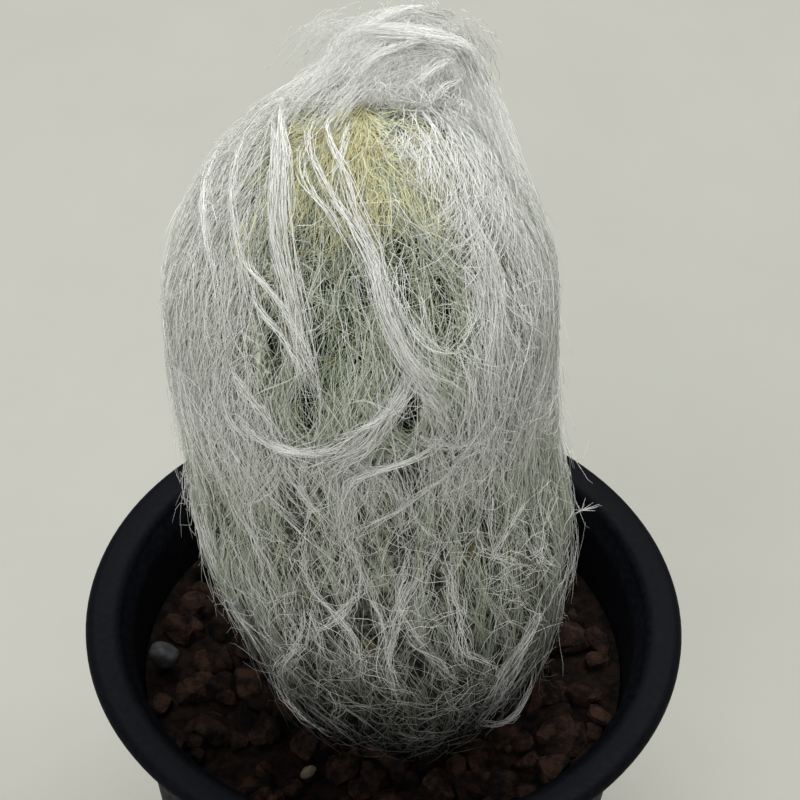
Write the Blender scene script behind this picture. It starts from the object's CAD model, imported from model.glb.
"""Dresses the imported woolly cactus: its pot, lava grit, ribbed stem, spines and every lock of its wool.

Metres, +Z up, -Y is the front. Each operator makes one piece, or one group of like pieces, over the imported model.
Wool is laid out on the coat: along is how far down from the crown, turn is the angle from the front towards +X,
and lift is how far off the coat's outer surface.
"""

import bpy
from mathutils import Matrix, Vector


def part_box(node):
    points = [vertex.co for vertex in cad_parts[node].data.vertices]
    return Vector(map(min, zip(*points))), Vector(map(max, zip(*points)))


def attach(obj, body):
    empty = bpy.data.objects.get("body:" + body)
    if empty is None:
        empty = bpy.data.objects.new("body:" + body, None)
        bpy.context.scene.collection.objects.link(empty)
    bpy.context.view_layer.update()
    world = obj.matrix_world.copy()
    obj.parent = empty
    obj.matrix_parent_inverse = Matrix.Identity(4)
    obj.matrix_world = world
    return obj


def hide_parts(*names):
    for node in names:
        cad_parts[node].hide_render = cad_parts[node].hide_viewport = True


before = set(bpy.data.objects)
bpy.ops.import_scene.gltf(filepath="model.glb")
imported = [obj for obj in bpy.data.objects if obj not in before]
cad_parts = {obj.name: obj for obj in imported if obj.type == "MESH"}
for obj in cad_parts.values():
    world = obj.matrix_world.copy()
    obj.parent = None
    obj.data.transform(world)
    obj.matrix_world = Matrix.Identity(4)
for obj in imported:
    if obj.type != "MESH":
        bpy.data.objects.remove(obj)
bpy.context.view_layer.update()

import math

import bmesh
import bpy
import numpy as np
from bpy.props import FloatProperty, FloatVectorProperty, IntProperty, PointerProperty
from mathutils import Matrix, Vector

bl_info = {
    "name": "Woolly Cactus",
    "version": (1, 0, 0),
    "blender": (4, 5, 0),
    "location": "View3D > Sidebar > Cactus",
    "description": "Dresses a potted woolly column cactus over its packed model",
    "category": "Object",
}

MM = 0.001
WELD = 0.1e-6

# The pot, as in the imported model
RIM_RADIUS = 50 * MM
LIP_THICKNESS = 3.4 * MM
LIP_WIDTH = 6.2 * MM
WALL_TAPER = math.tan(math.radians(6.5))
WALL_THICKNESS = 1.5 * MM
FOOT_RADIUS = 34 * MM
FOOT_WIDTH = 3.6 * MM
FOOT_RECESS = 1.8 * MM
FLOOR_THICKNESS = 1.6 * MM
THROAT_DEPTH = 5 * MM
CORNER = 2 * MM
DRAIN_RADIUS = 4 * MM
DRAIN_CIRCLE = 20 * MM
DRAIN_COUNT = 5
POT_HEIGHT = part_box("pot")[1].z

# The soil
SOIL_LEVEL = 75.6 * MM
GAP = 0.35 * MM
NECK_DEPTH = 22 * MM
NECK_TIP_RADIUS = 8 * MM

# The leaning axis that the stem and its coat share
BASE_X = 3.2 * MM
TOP_X = -4.4 * MM
AXIS_Y = -2.7 * MM
LEAN_FROM = 77 * MM
LEAN_TO = 160 * MM

# The coat's outer surface: a dome on a side that tapers to the foot, with a low bulge round it
DOME_LEVEL = 161 * MM
COAT_DOME = 38.5 * MM
COAT_RADIUS = 28.9 * MM
COAT_BULGE = 1.1 * MM
BULGE_LEVEL = 119 * MM
BULGE_SPREAD = 9 * MM
COAT_FOOT_RADIUS = 20.6 * MM
FOOT_LEVEL = 77 * MM
SHOULDER_LEVEL = 114 * MM
QUARTER = COAT_RADIUS * math.pi / 2
COAT_END = 128 * MM
SHOULDER_EASE = 1.3 * MM
FELT_LIFT = -2.3 * MM
FELT_RELIEF = 1.5 * MM
LEAST_RADIUS = 7 * MM

# The stem under the wool
WOOL_DEPTH = 4.2 * MM
RIB_COUNT = 20
RIB_DEPTH = 2.0 * MM
AREOLE_PITCH = 5.4 * MM

# The parting over the front of the crown: its left and right edges, as (mm along, degrees of turn)
PARTING_LEFT = ((4, -40), (9, -82), (16.5, -62), (23, -50), (32, -41), (41, -33), (50, -26), (56, -12))
PARTING_RIGHT = ((4, 60), (11, 90), (17.6, 62), (25, 48), (34, 40), (42.7, 30), (47, 18), (56, -2))
PARTING_END = 51 * MM

# The wool's slow drift to either side, as waves of (mm down the coat, whorls round it, phase, mm of drift)
DRIFT = ((52, 3, 0.4, 1.7), (33, -5, 2.1, 1.2), (21, 9, 4.0, 0.7), (13, -14, 1.2, 0.4))

# The strands that the wool mats into: two families of lines that cross in a net of long, leaf-shaped gaps
STRAND_COUNT = 38
STRAND_REACH = 22 * MM
STRAND_LEAN = 0.21

# Gaps in the wool, as (mm along, degrees of turn, half width in mm, half height in mm)
GAPS = (
    (20.2, -27, 1.3, 2.0), (23.0, -24, 1.0, 1.6), (21.0, -11, 2.0, 1.3), (26.3, -11, 1.1, 2.1),
    (27.1, 2, 1.0, 1.8), (24.8, -34, 1.1, 1.5), (35.0, -28, 1.7, 1.7), (37.5, -28, 1.4, 1.5),
    (34.6, -12, 1.7, 2.6), (31.2, -5, 1.1, 1.6), (21.3, 20, 1.7, 1.6), (28.2, 17, 1.0, 2.5),
    (28.7, 30, 1.7, 1.6), (32.3, 29, 1.3, 2.0), (42.5, -16, 1.3, 3.5), (38.2, -11, 1.1, 1.3),
    (43.7, 15, 1.4, 2.8), (32.0, -41, 1.1, 0.9), (29.3, -27, 0.9, 1.5), (61.0, -23, 1.1, 2.7),
    (68.1, -21, 1.3, 4.1), (64.2, 0, 1.3, 2.2), (69.2, 11, 1.9, 3.0), (54.3, 13, 2.0, 2.5),
    (85.3, -4, 1.4, 3.1), (78.6, -24, 1.1, 3.5), (70.9, -8, 0.9, 3.0), (80.7, 20, 1.1, 2.8),
    (88.8, -16, 1.4, 3.1), (91.1, -1, 1.1, 5.8), (98.6, 9, 1.4, 3.6), (90.9, 26, 1.1, 3.5),
    (74.5, -39, 0.9, 3.3), (76.6, 37, 0.9, 2.3), (97.8, -29, 1.4, 3.5),
)

# Locks that the photograph shows one by one, each as (mm along, degrees of turn) points, then mm of width and hairs
LOCKS = (
    (((11, -119), (12, -66), (15, -47), (20, -36), (24, -30), (30, -20), (37, -17), (46, -15)), 1.5, 70),
    (((13, -110), (13, -70), (17, -49), (23, -40), (27, -26), (34, -18), (39, -15), (44, -5)), 1.2, 50),
    (((14, -105), (20, -104), (26, -99), (28, -74), (31, -58), (36, -48)), 1.6, 60),
    (((12, -112), (18, -90), (22, -70), (26, -50), (31, -38), (38, -30)), 1.2, 40),
    (((4, -75), (9, -55), (12, -35), (15, -17), (19, -2), (21, 5), (26, 10), (31, 12)), 0.7, 22),
    (((3, -60), (7, -45), (9, -27), (13, -8), (16, -2), (21, 8), (27, 12)), 0.6, 18),
    (((8, -55), (14, -40), (16, -27), (18, -14), (21, -5), (26, 0)), 0.6, 16),
    (((3, -20), (5, -24), (9, -17), (13, -17), (19, -12)), 0.5, 14),
    (((12, -16), (15, -10), (19, -2), (23, 5), (29, 8), (36, 14), (39, 23), (43, 32)), 1.5, 70),
    (((18, 0), (22, 3), (28, 8), (33, 12), (37, 17), (42, 26), (46, 32)), 1.1, 40),
    (((22, 14), (28, 13), (32, 16), (34, 20), (36, 27), (36, 35)), 0.6, 18),
    (((25, -54), (27, -49), (29, -32), (31, -24), (34, -17), (40, -12)), 1.0, 34),
    (((29, -44), (31, -38), (33, -26), (36, -18), (40, -15)), 0.9, 26),
    (((18, 52), (24, 50), (28, 53), (33, 49), (38, 41), (43, 42), (49, 42)), 1.4, 56),
    (((26, 40), (30, 43), (33, 40), (35, 30), (37, 24)), 0.8, 22),
    (((20, 66), (24, 69), (28, 75), (34, 72), (40, 66)), 1.2, 40),
    (((30, 48), (35, 54), (40, 63), (45, 70), (50, 70), (49, 58)), 1.0, 34),
    (((39, -44), (42, -34), (44, -27), (47, -25), (49, -30), (48, -36)), 0.8, 26),
    (((40, -46), (45, -42), (49, -38), (52, -32), (51, -27)), 0.9, 28),
    (((45, -40), (48, -33), (49, -24), (49, -14), (47, -6), (44, -2), (42, 3)), 1.3, 60),
    (((47, -8), (44, -1), (43, 4), (41, 10), (38, 16), (36, 21)), 0.9, 30),
    (((35, 20), (38, 15), (41, 10), (44, 5), (48, -1), (51, -8), (55, -12)), 1.6, 70),
    (((34, 10), (37, 14), (40, 19), (43, 23), (47, 28)), 1.0, 34),
    (((49, 46), (51, 38), (50, 28), (47, 19), (44, 14)), 0.8, 26),
    (((43, 30), (47, 26), (50, 17), (51, 6), (52, -2), (56, -4), (62, -5), (69, -5)), 1.0, 36),
    (((50, 8), (53, 0), (55, -4), (60, -4), (66, -4)), 0.7, 22),
    (((52, 34), (54, 29), (57, 18), (60, 11), (63, 0), (68, -5)), 0.7, 22),
    (((50, -26), (53, -21), (57, -18), (61, -13), (66, -8)), 0.7, 20),
    (((52, -40), (57, -38), (64, -36), (72, -38)), 0.8, 22),
    (((58, -5), (64, -4), (72, -3), (78, -5), (84, -9)), 0.7, 24),
    (((62, -7), (68, -6), (74, -8), (80, -11)), 0.6, 18),
    (((70, -3), (76, -1), (82, 1), (88, 1), (93, 0)), 0.6, 20),
    (((69, 17), (75, 14), (81, 7), (87, 3), (93, -1), (99, 0), (106, 1)), 1.0, 34),
    (((60, -36), (66, -36), (74, -36), (82, -35), (90, -34)), 0.9, 26),
    (((64, -17), (70, -20), (76, -20), (82, -17)), 0.6, 18),
    (((82, -22), (88, -23), (96, -30), (104, -38), (114, -47)), 1.1, 36),
    (((75, -3), (79, -6), (84, -13), (89, -22)), 0.8, 24),
    (((77, -22), (82, -13), (87, -7), (94, -8), (100, -9)), 0.7, 22),
    (((92, 56), (97, 50), (102, 40), (107, 36), (116, 31)), 1.1, 36),
    (((97, 54), (103, 46), (108, 40), (114, 34)), 0.8, 24),
    (((68, 24), (75, 24), (84, 23), (92, 25), (100, 27)), 0.8, 24),
    (((66, 17), (74, 9), (80, 6), (86, 10), (92, 13)), 0.7, 20),
)


def vector_mm(*numbers):
    return Vector(numbers) * MM


# Settings a user may change


class PotSettings(bpy.types.PropertyGroup):
    steps: IntProperty(name="Steps", description="Sides round the pot", default=128, min=24)
    colour: FloatVectorProperty(
        name="Colour", description="The plastic", subtype="COLOR", size=3, default=(0.0022, 0.0025, 0.0036)
    )


class GritSettings(bpy.types.PropertyGroup):
    lumps: IntProperty(name="Lumps", description="Lumps of lava on top of the soil", default=260, min=20)
    least: FloatProperty(
        name="Least Size", description="Half length of the smallest lump", default=2.3 * MM, unit="LENGTH"
    )
    most: FloatProperty(
        name="Most Size", description="Half length of the largest lump", default=4.9 * MM, unit="LENGTH"
    )
    dark: FloatVectorProperty(
        name="Dark", description="The lumps' dark brown", subtype="COLOR", size=3, default=(0.0055, 0.0036, 0.003)
    )
    light: FloatVectorProperty(
        name="Light", description="The lumps' rusty faces", subtype="COLOR", size=3, default=(0.030, 0.0155, 0.0105)
    )


class StemSettings(bpy.types.PropertyGroup):
    skin: FloatVectorProperty(
        name="Skin", description="Fibres and scurf over the rib crests", subtype="COLOR", size=3, default=(0.30, 0.38, 0.25)
    )
    furrow: FloatVectorProperty(
        name="Furrow", description="Dark green skin", subtype="COLOR", size=3, default=(0.014, 0.026, 0.014)
    )
    young: FloatVectorProperty(
        name="Young", description="Yellow fuzz at the growing point", subtype="COLOR", size=3,
        default=(0.36, 0.36, 0.15),
    )


class SpineSettings(bpy.types.PropertyGroup):
    per_areole: IntProperty(name="Spines", description="Spines in an open areole", default=40, min=3)
    length: FloatProperty(name="Length", description="Longest radial spine", default=7.4 * MM, unit="LENGTH")
    thickness: FloatProperty(name="Thickness", description="Radius of a spine", default=0.055 * MM, unit="LENGTH")
    pale: FloatVectorProperty(
        name="Pale", description="Radial spines", subtype="COLOR", size=3, default=(0.74, 0.79, 0.62)
    )
    gold: FloatVectorProperty(
        name="Gold", description="Young spines at the crown", subtype="COLOR", size=3, default=(0.80, 0.76, 0.42)
    )
    rust: FloatVectorProperty(
        name="Rust", description="Tips at the growing point", subtype="COLOR", size=3, default=(0.55, 0.17, 0.05)
    )


class WoolSettings(bpy.types.PropertyGroup):
    thickness: FloatProperty(name="Thickness", description="Radius of a hair", default=0.055 * MM, unit="LENGTH")
    seed: IntProperty(name="Seed", description="Changes every lock", default=11)
    white: FloatVectorProperty(
        name="White", description="Fresh wool", subtype="COLOR", size=3, default=(0.95, 0.95, 0.92)
    )
    aged: FloatVectorProperty(
        name="Aged", description="Wool near the skin and the foot", subtype="COLOR", size=3,
        default=(0.52, 0.60, 0.38),
    )
    matted: FloatVectorProperty(
        name="Matted", description="Threads of the felt next to the skin", subtype="COLOR", size=3,
        default=(0.78, 0.80, 0.66),
    )
    gap: FloatVectorProperty(
        name="Gap", description="What shows between the felt's threads", subtype="COLOR", size=3,
        default=(0.10, 0.12, 0.07),
    )


class StudioSettings(bpy.types.PropertyGroup):
    floor: FloatVectorProperty(
        name="Floor", description="The floor", subtype="COLOR", size=3, default=(0.405, 0.405, 0.36)
    )
    power: FloatProperty(name="Power", description="The overhead light", default=12.3, unit="POWER")
    ambient: FloatProperty(name="Ambient", description="Light from all round", default=0.235)


# The coat's shape


def smooth(t):
    t = np.clip(t, 0.0, 1.0)
    return t * t * (3 - 2 * t)


def axis_x(z):
    """Where the leaning axis lies at a height."""
    return BASE_X + (TOP_X - BASE_X) * smooth((z - LEAN_FROM) / (LEAN_TO - LEAN_FROM))


def coat_body_radius(z):
    """The coat's radius below the dome."""
    rise = np.sin(math.pi / 2 * np.clip((z - FOOT_LEVEL) / (SHOULDER_LEVEL - FOOT_LEVEL), 0, 1))
    bulge = COAT_BULGE * np.exp(-(((z - BULGE_LEVEL) / BULGE_SPREAD) ** 2))
    return COAT_FOOT_RADIUS + (COAT_RADIUS - COAT_FOOT_RADIUS) * rise + bulge


def coat_profile(along, lift=0.0):
    """Radius and height on the coat, lifted off it."""
    angle = np.minimum(along, QUARTER) / COAT_RADIUS
    side_z = DOME_LEVEL + QUARTER - along
    on_dome = along < QUARTER
    r = np.where(on_dome, (COAT_RADIUS + lift) * np.sin(angle), coat_body_radius(side_z) + lift)
    z = np.where(on_dome, DOME_LEVEL + (COAT_DOME + lift) * np.cos(angle), side_z)
    return r, z


def coat_place(along, turn, lift):
    """Places lifted off the coat, as an array whose last axis is x, y, z."""
    r, z = coat_profile(along, lift)
    return np.stack((axis_x(z) + r * np.sin(turn), AXIS_Y - r * np.cos(turn), z), axis=-1)


def across_radius(along):
    """The radius that a sideways step turns about, kept from vanishing at the crown."""
    return np.maximum(coat_profile(along)[0], LEAST_RADIUS)


def drift(along, turn):
    """How far the wool has drifted sideways at a place."""
    total = 0.0
    for reach, whorls, phase, size in DRIFT:
        total = total + size * MM * np.sin(math.tau * along / (reach * MM) + whorls * turn + phase)
    return total


def strand_phase(along, turn, side):
    """Where a place lies between the strands of one family, which lean to one side: 0 on a strand, pi midway."""
    wander = 1.4 * np.sin(math.tau * along / (37 * MM) + 3 * np.sin(2 * turn) + side)
    wander = wander + 1.1 * np.sin(5 * turn + 2 * side) + 0.7 * np.sin(math.tau * along / (13 * MM) - 3 * turn)
    return STRAND_COUNT * turn + side * math.tau * along / STRAND_REACH + wander


def gathered(along, turn, side, strength):
    """Turns drawn towards the strands of each hair's own family."""
    return turn - strength / STRAND_COUNT * np.sin(strand_phase(along, turn, side))


def matting(along, turn):
    """How thickly the wool is matted at a place, from 0 in a gap to 1 on a strand."""
    return np.maximum(*((0.5 + 0.5 * np.cos(strand_phase(along, turn, side))) ** 1.6 for side in (-1, 1)))


def wrapped(turn):
    return (turn + math.pi) % math.tau - math.pi


def openness(along, turn):
    """How far a place lies inside the parting, from 0 outside to 1 well inside."""
    mm = along / MM
    left = np.interp(mm, *zip(*PARTING_LEFT))
    right = np.interp(mm, *zip(*PARTING_RIGHT))
    degrees = np.degrees(wrapped(turn))
    inside = np.minimum(degrees - left, right - degrees) / 9.0
    ends = np.minimum(mm - 3.0, (PARTING_END - along) / MM) / 4.0
    return np.clip(np.minimum(inside, ends), 0, 1)


def gap_depth(along, turn):
    """How deep a place lies in a gap of the wool, from 0 outside to 1 in the middle."""
    depth = np.zeros(np.broadcast(along, turn).shape)
    for middle, side, half_width, half_height in GAPS:
        across = wrapped(turn - math.radians(side)) * across_radius(along) / (half_width * MM)
        down = (along - middle * MM) / (half_height * MM)
        depth = np.maximum(depth, np.exp(-0.8 * (across**2 + down**2)))
    return depth


def outside_gaps(rng, made, left=0.1):
    """Which hairs stay once most of those that cross a gap are gone."""
    crossing = gap_depth(made[..., 0], made[..., 1]).max(axis=1)
    return rng.uniform(0, 1, len(made)) < 1 - (1 - left) * smooth(crossing * 1.5)


# Objects and meshes


def add_object(name, data, material=None):
    obj = bpy.data.objects.new(name, data)
    bpy.context.scene.collection.objects.link(obj)
    if material:
        data.materials.append(material)
    return obj


def bmesh_object(name, bm, material=None):
    mesh = bpy.data.meshes.new(name)
    bm.to_mesh(mesh)
    bm.free()
    return add_object(name, mesh, material)


def evaluated_mesh(obj):
    graph = bpy.context.evaluated_depsgraph_get()
    return bpy.data.meshes.new_from_object(obj.evaluated_get(graph))


def finish_piece(obj, slot, *nodes):
    """A finished piece rides on the body, takes a slot and stands for its nodes."""
    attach(obj, "root")
    if nodes:
        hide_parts(*nodes)
    return obj


def close(bm):
    """Merges doubles, as at poles and caps, and turns the faces outwards."""
    bmesh.ops.remove_doubles(bm, verts=bm.verts, dist=WELD)
    bmesh.ops.recalc_face_normals(bm, faces=bm.faces)


def spun(profile, steps):
    """A bmesh turned round the Z axis from (radius, height) points that start and end on it."""
    bm = bmesh.new()
    vertices = [bm.verts.new((r, 0, z)) for r, z in profile]
    edges = [bm.edges.new(pair) for pair in zip(vertices, vertices[1:])]
    bmesh.ops.spin(
        bm, geom=vertices + edges, cent=(0, 0, 0), axis=(0, 0, 1), angle=math.tau, steps=steps, use_merge=True
    )
    close(bm)
    return bm


def hair_section():
    """The three-sided section that every hair, spine and strand shares, a metre in radius."""
    data = bpy.data.curves.new("hair_section", "CURVE")
    spline = data.splines.new("POLY")
    spline.points.add(2)
    for i, point in enumerate(spline.points):
        turn = -math.tau * i / 3
        point.co = (math.cos(turn), math.sin(turn), 0, 1)
    spline.use_cyclic_u = True
    return add_object("hair_section", data)


def cell_map(mesh, count, steps):
    """Gives every hair a cell of its own in the map that the export bakes to."""
    made = mesh.uv_layers["UVMap"].data
    flat = np.empty(len(mesh.loops) * 2, np.float32)
    made.foreach_get("uv", flat)
    uv = flat.reshape(-1, 2)
    side = math.ceil(math.sqrt(count))
    corner = np.stack((np.arange(count) % side, np.arange(count) // side), axis=-1)
    caps = np.array(((0.1, 0.04), (0.3, 0.04), (0.2, 0.14), (0.6, 0.04), (0.8, 0.04), (0.7, 0.14)))
    inner = 0.06 + 0.88 * uv[6 * count :].reshape(count, (steps - 1) * 12, 2)
    inner[..., 1] = 0.2 + 0.82 * (inner[..., 1] - 0.06)
    cells = np.concatenate(
        ((corner[:, None] + caps).reshape(-1, 2), (corner[:, None] + inner).reshape(-1, 2))
    ) / side
    made.foreach_set("uv", cells.astype(np.float32).ravel())
    mesh.uv_layers["UVMap"].name = "OFBake"


def tubes(name, places, radii, shade, material):
    """Hairs or spines as one mesh: a fine capped tube along each row of places."""
    count, steps = radii.shape
    section = hair_section()
    data = bpy.data.curves.new(name, "CURVE")
    data.dimensions = "3D"
    data.bevel_mode = "OBJECT"
    data.bevel_object = section
    data.use_fill_caps = True
    rows = np.ones((count, steps, 4), np.float32)
    rows[..., :3] = places
    for row, thickness in zip(rows, radii.astype(np.float32)):
        points = data.splines.new("POLY").points
        points.add(steps - 1)
        points.foreach_set("co", row.ravel())
        points.foreach_set("radius", thickness)
    curve = add_object(name, data)
    mesh = evaluated_mesh(curve)
    for used in (curve, section):
        bpy.data.objects.remove(used)
    cell_map(mesh, count, steps)
    for title, caps, rings in (
        ("shade", np.repeat(shade, 6), np.repeat(shade, 3 * steps)),
        ("tipward", np.tile([1, 1, 1, 0, 0, 0], count), np.tile(np.repeat(np.linspace(0, 1, steps), 3), count)),
    ):
        layer = mesh.attributes.new(title, "FLOAT", "POINT")
        layer.data.foreach_set("value", np.concatenate((caps, rings)).astype(np.float32))
    bm = bmesh.new()
    bm.from_mesh(mesh)
    close(bm)
    bm.to_mesh(mesh)
    bm.free()
    mesh.name = name
    mesh.shade_smooth()
    return add_object(name, mesh, material)


# Materials


def add_node(tree, kind, **values):
    """A shader node with its settings, and its sockets' values where a name is a socket's."""
    node = tree.nodes.new(kind)
    for name, value in values.items():
        if hasattr(node, name):
            setattr(node, name, value)
        else:
            node.inputs[name.replace("_", " ").title()].default_value = value
    return node


def link(tree, source, target):
    tree.links.new(source, target)


def new_group(name, inputs, outputs):
    """An empty shader node group with named sockets. Each input is (name, kind, default)."""
    tree = bpy.data.node_groups.new(name, "ShaderNodeTree")
    for title, kind, default in inputs:
        socket = tree.interface.new_socket(title, in_out="INPUT", socket_type=kind)
        socket.default_value = default
    for title, kind in outputs:
        tree.interface.new_socket(title, in_out="OUTPUT", socket_type=kind)
    return tree, tree.nodes.new("NodeGroupInput").outputs, tree.nodes.new("NodeGroupOutput").inputs


def mottle_group():
    """Two colours mottled at one scale, with fine pits: for plastic, stone, grit and skin."""
    tree, given, out = new_group(
        "mottle",
        (
            ("Scale", "NodeSocketFloat", 200.0),
            ("Sharpness", "NodeSocketFloat", 0.5),
            ("Dark", "NodeSocketColor", (0, 0, 0, 1)),
            ("Light", "NodeSocketColor", (1, 1, 1, 1)),
        ),
        (("Colour", "NodeSocketColor"), ("Mask", "NodeSocketFloat"), ("Height", "NodeSocketFloat")),
    )
    where = tree.nodes.new("ShaderNodeTexCoord").outputs["Object"]
    broad = add_node(tree, "ShaderNodeTexNoise", detail=5.0, roughness=0.62)
    fine = add_node(tree, "ShaderNodeTexNoise", detail=4.0, roughness=0.6)
    finer = add_node(tree, "ShaderNodeMath", operation="MULTIPLY")
    finer.inputs[1].default_value = 4.3
    low = add_node(tree, "ShaderNodeMath", operation="MULTIPLY_ADD")
    low.inputs[1].default_value = 0.22
    low.inputs[2].default_value = 0.27
    high = add_node(tree, "ShaderNodeMath", operation="SUBTRACT")
    high.inputs[0].default_value = 1.0
    spread = add_node(tree, "ShaderNodeMapRange", interpolation_type="SMOOTHSTEP")
    mix = add_node(tree, "ShaderNodeMix", data_type="RGBA")
    link(tree, where, broad.inputs["Vector"])
    link(tree, where, fine.inputs["Vector"])
    link(tree, given["Scale"], broad.inputs["Scale"])
    link(tree, given["Scale"], finer.inputs[0])
    link(tree, finer.outputs[0], fine.inputs["Scale"])
    link(tree, given["Sharpness"], low.inputs[0])
    link(tree, low.outputs[0], high.inputs[1])
    link(tree, broad.outputs["Fac"], spread.inputs["Value"])
    link(tree, low.outputs[0], spread.inputs["From Min"])
    link(tree, high.outputs[0], spread.inputs["From Max"])
    link(tree, spread.outputs["Result"], mix.inputs["Factor"])
    link(tree, given["Dark"], mix.inputs["A"])
    link(tree, given["Light"], mix.inputs["B"])
    link(tree, mix.outputs["Result"], out["Colour"])
    link(tree, spread.outputs["Result"], out["Mask"])
    link(tree, fine.outputs["Fac"], out["Height"])
    return tree


def threads_group():
    """Matted fibres in two colours: fine threads where slices through stretched noise cross their middle."""
    tree, given, out = new_group(
        "threads",
        (
            ("Scale", "NodeSocketFloat", 800.0),
            ("Width", "NodeSocketFloat", 0.05),
            ("Dark", "NodeSocketColor", (0, 0, 0, 1)),
            ("Light", "NodeSocketColor", (1, 1, 1, 1)),
        ),
        (("Colour", "NodeSocketColor"), ("Mask", "NodeSocketFloat")),
    )
    where = tree.nodes.new("ShaderNodeTexCoord").outputs["Object"]
    found = None
    for tilt, size in ((0.32, 1.0), (-0.42, 1.3), (0.05, 0.72), (-0.1, 1.9)):
        turned = add_node(tree, "ShaderNodeMapping", vector_type="TEXTURE")
        turned.inputs["Location"].default_value = (size, tilt, size)
        turned.inputs["Rotation"].default_value = (0, tilt, 0)
        turned.inputs["Scale"].default_value = (1, 1, 3.4)
        scaled = add_node(tree, "ShaderNodeMath", operation="MULTIPLY")
        scaled.inputs[1].default_value = size
        noise = add_node(tree, "ShaderNodeTexNoise", detail=2.0, roughness=0.55)
        off = add_node(tree, "ShaderNodeMath", operation="SUBTRACT")
        off.inputs[1].default_value = 0.5
        away = add_node(tree, "ShaderNodeMath", operation="ABSOLUTE")
        line = add_node(tree, "ShaderNodeMapRange", interpolation_type="SMOOTHSTEP")
        line.inputs["To Min"].default_value = 1.0
        line.inputs["To Max"].default_value = 0.0
        link(tree, where, turned.inputs["Vector"])
        link(tree, given["Scale"], scaled.inputs[0])
        link(tree, turned.outputs["Vector"], noise.inputs["Vector"])
        link(tree, scaled.outputs[0], noise.inputs["Scale"])
        link(tree, noise.outputs["Fac"], off.inputs[0])
        link(tree, off.outputs[0], away.inputs[0])
        link(tree, away.outputs[0], line.inputs["Value"])
        link(tree, given["Width"], line.inputs["From Max"])
        if found is None:
            found = line.outputs["Result"]
        else:
            most = add_node(tree, "ShaderNodeMath", operation="MAXIMUM")
            link(tree, found, most.inputs[0])
            link(tree, line.outputs["Result"], most.inputs[1])
            found = most.outputs[0]
    mix = add_node(tree, "ShaderNodeMix", data_type="RGBA")
    link(tree, found, mix.inputs["Factor"])
    link(tree, given["Dark"], mix.inputs["A"])
    link(tree, given["Light"], mix.inputs["B"])
    link(tree, mix.outputs["Result"], out["Colour"])
    link(tree, found, out["Mask"])
    return tree


def soiled_group():
    """Darkens a colour towards the foot, where the wool is thin and stained by the grit."""
    tree, given, out = new_group(
        "soiled",
        (("Base", "NodeSocketColor", (1, 1, 1, 1)), ("Reach", "NodeSocketFloat", 0.03)),
        (("Colour", "NodeSocketColor"),),
    )
    where = tree.nodes.new("ShaderNodeTexCoord").outputs["Object"]
    height = tree.nodes.new("ShaderNodeSeparateXYZ")
    top = add_node(tree, "ShaderNodeMath", operation="ADD")
    top.inputs[1].default_value = FOOT_LEVEL
    level = add_node(tree, "ShaderNodeMapRange", interpolation_type="SMOOTHSTEP")
    level.inputs["From Min"].default_value = FOOT_LEVEL
    level.inputs["To Min"].default_value = 0.06
    dim = add_node(tree, "ShaderNodeMix", data_type="RGBA", blend_type="MULTIPLY")
    dim.inputs["Factor"].default_value = 1.0
    link(tree, where, height.inputs["Vector"])
    link(tree, height.outputs["Z"], level.inputs["Value"])
    link(tree, given["Reach"], top.inputs[0])
    link(tree, top.outputs[0], level.inputs["From Max"])
    link(tree, given["Base"], dim.inputs["A"])
    link(tree, level.outputs["Result"], dim.inputs["B"])
    link(tree, dim.outputs["Result"], out["Colour"])
    return tree


def place_group(tree, group, **values):
    node = tree.nodes.new("ShaderNodeGroup")
    node.node_tree = group
    for name, value in values.items():
        socket = node.inputs[name.replace("_", " ").title()]
        socket.default_value = (*value, 1) if socket.type == "RGBA" else value
    return node


def new_material(name, roughness, specular=0.5):
    material = bpy.data.materials.new(name)
    material.use_nodes = True
    shader = material.node_tree.nodes["Principled BSDF"]
    shader.inputs["Roughness"].default_value = roughness
    shader.inputs["Specular IOR Level"].default_value = specular
    return material, material.node_tree, shader


def add_bump(tree, shader, height, distance, strength=1.0):
    bump = add_node(tree, "ShaderNodeBump", distance=distance, strength=strength)
    link(tree, height, bump.inputs["Height"])
    link(tree, bump.outputs["Normal"], shader.inputs["Normal"])


def mottled_material(name, group, roughness, scale, sharpness, dark, light, bump, specular=0.5):
    """A solid material in two mottled colours with a fine bump."""
    material, tree, shader = new_material(name, roughness, specular)
    mottle = place_group(tree, group, scale=scale, sharpness=sharpness, dark=dark, light=light)
    link(tree, mottle.outputs["Colour"], shader.inputs["Base Color"])
    add_bump(tree, shader, mottle.outputs["Height"], bump)
    return material


def shared_group(name, make):
    """A node group built the first time that it is asked for."""
    return bpy.data.node_groups.get(name) or make()


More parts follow.
